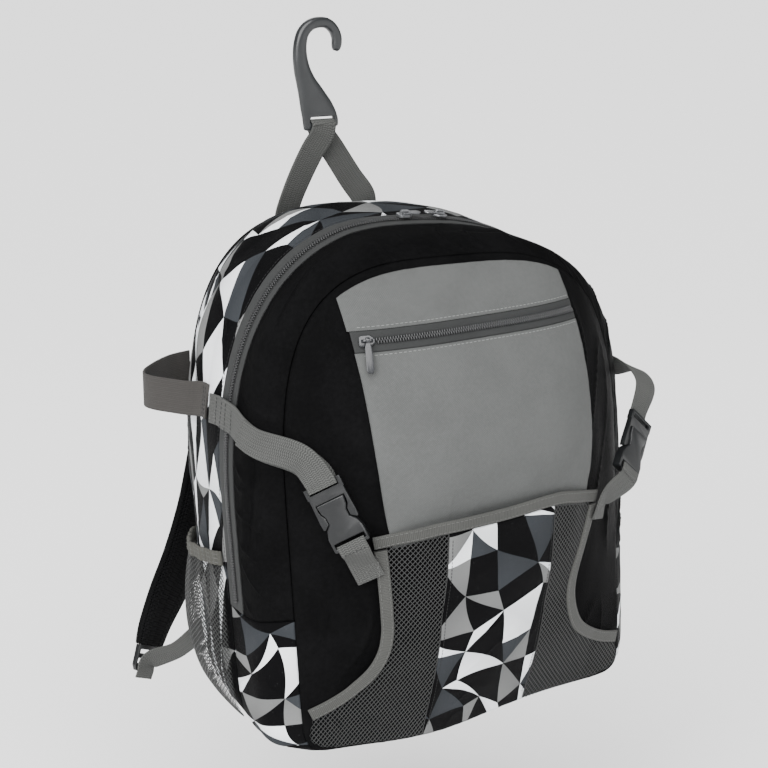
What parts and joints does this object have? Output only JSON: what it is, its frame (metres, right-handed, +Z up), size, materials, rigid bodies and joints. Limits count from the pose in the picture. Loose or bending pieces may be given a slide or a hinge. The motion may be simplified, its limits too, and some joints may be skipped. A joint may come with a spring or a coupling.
{
  "type": "baseball bat backpack",
  "caption": "Youth sport backpack with arched zip, apron pocket, net side pockets, bat loops and a plastic fence hook on a webbing loop.",
  "frame": {"origin": "inside top of the fence hook's curl, where the bag hangs from a rail", "axes": "+Z up, -Y towards the bag's front, +X to the right when looking at the front"},
  "size_m": [0.4592, 0.3495, 0.614],
  "materials": {
    "print_cloth": "woven polyester with a faceted grey, black and white print",
    "black_cloth": "plain woven polyester, slightly shiny",
    "padding": "foam covered with black cloth and spacer mesh",
    "grey_cloth": "grey oxford weave",
    "webbing": "ribbed grey webbing",
    "loop_webbing": "stiff brownish grey webbing",
    "net": "open polyester net",
    "zip_tape": "woven zip tape",
    "zip_chain": "coil zip",
    "binding": "folded grosgrain binding and elastic",
    "hardware": "grey lacquered zip sliders",
    "zip_plastic": "smoky plastic slider and pull",
    "buckle": "moulded dark grey acetal",
    "hook": "satin slate grey nylon"
  },
  "bodies": {
    "bag": {"gusset_print": "print_cloth", "front_gusset": "black_cloth", "corner_print_left": "print_cloth", "corner_print_right": "print_cloth", "base_panel": "black_cloth", "back_panel": "padding", "front_face": "black_cloth", "main_zip_tape": "zip_tape", "main_zip_chain": "zip_chain", "main_slider_left": "hardware", "main_slider_right": "hardware", "front_pocket_panel": "grey_cloth", "front_pocket_top": "grey_cloth", "front_zip_tape": "zip_tape", "front_zip_chain": "zip_chain", "front_slider": "zip_plastic", "apron_print": "print_cloth", "apron_net_left": "net", "apron_arch_binding_left": "binding", "apron_net_right": "net", "apron_arch_binding_right": "binding", "apron_top_binding": "binding", "side_net_left": "net", "side_elastic_left": "binding", "side_net_right": "net", "side_elastic_right": "binding", "bat_loop_left": "loop_webbing", "bat_loop_right": "loop_webbing", "shoulder_strap_left": "padding", "strap_lock_left": "buckle", "strap_webbing_left": "webbing", "shoulder_strap_right": "padding", "strap_lock_right": "buckle", "strap_webbing_right": "webbing", "buckle_plug_left": "buckle", "buckle_socket_left": "buckle", "buckle_plug_right": "buckle", "buckle_socket_right": "buckle", "compression_strap_left": "webbing", "compression_strap_right": "webbing", "strap_tail_left": "webbing", "apron_tab_left": "webbing", "apron_tab_right": "webbing", "hook_loop": "webbing", "fence_hook": "hook"},
    "pull_left": {"main_pull_left": "hardware"},
    "pull_right": {"main_pull_right": "hardware"},
    "pull_front": {"front_pull": "zip_plastic"}
  },
  "joints": [
    {"name": "main_pull_left_hinge", "type": "hinge", "parent": "bag", "child": "pull_left", "pos_m": [0.00551, -0.13177, -0.14708], "axis": [-0.0088, -0.9832, -0.1825], "range_deg": [0, 150]},
    {"name": "main_pull_right_hinge", "type": "hinge", "parent": "bag", "child": "pull_right", "pos_m": [0.04419, -0.13178, -0.14999], "axis": [0.0222, 0.9833, 0.1806], "range_deg": [0, 150]},
    {"name": "front_pull_hinge", "type": "hinge", "parent": "bag", "child": "pull_front", "pos_m": [-0.08309, -0.22322, -0.2283], "axis": [-0.9383, 0.3448, -0.0263], "range_deg": [0, 100]}
  ]
}
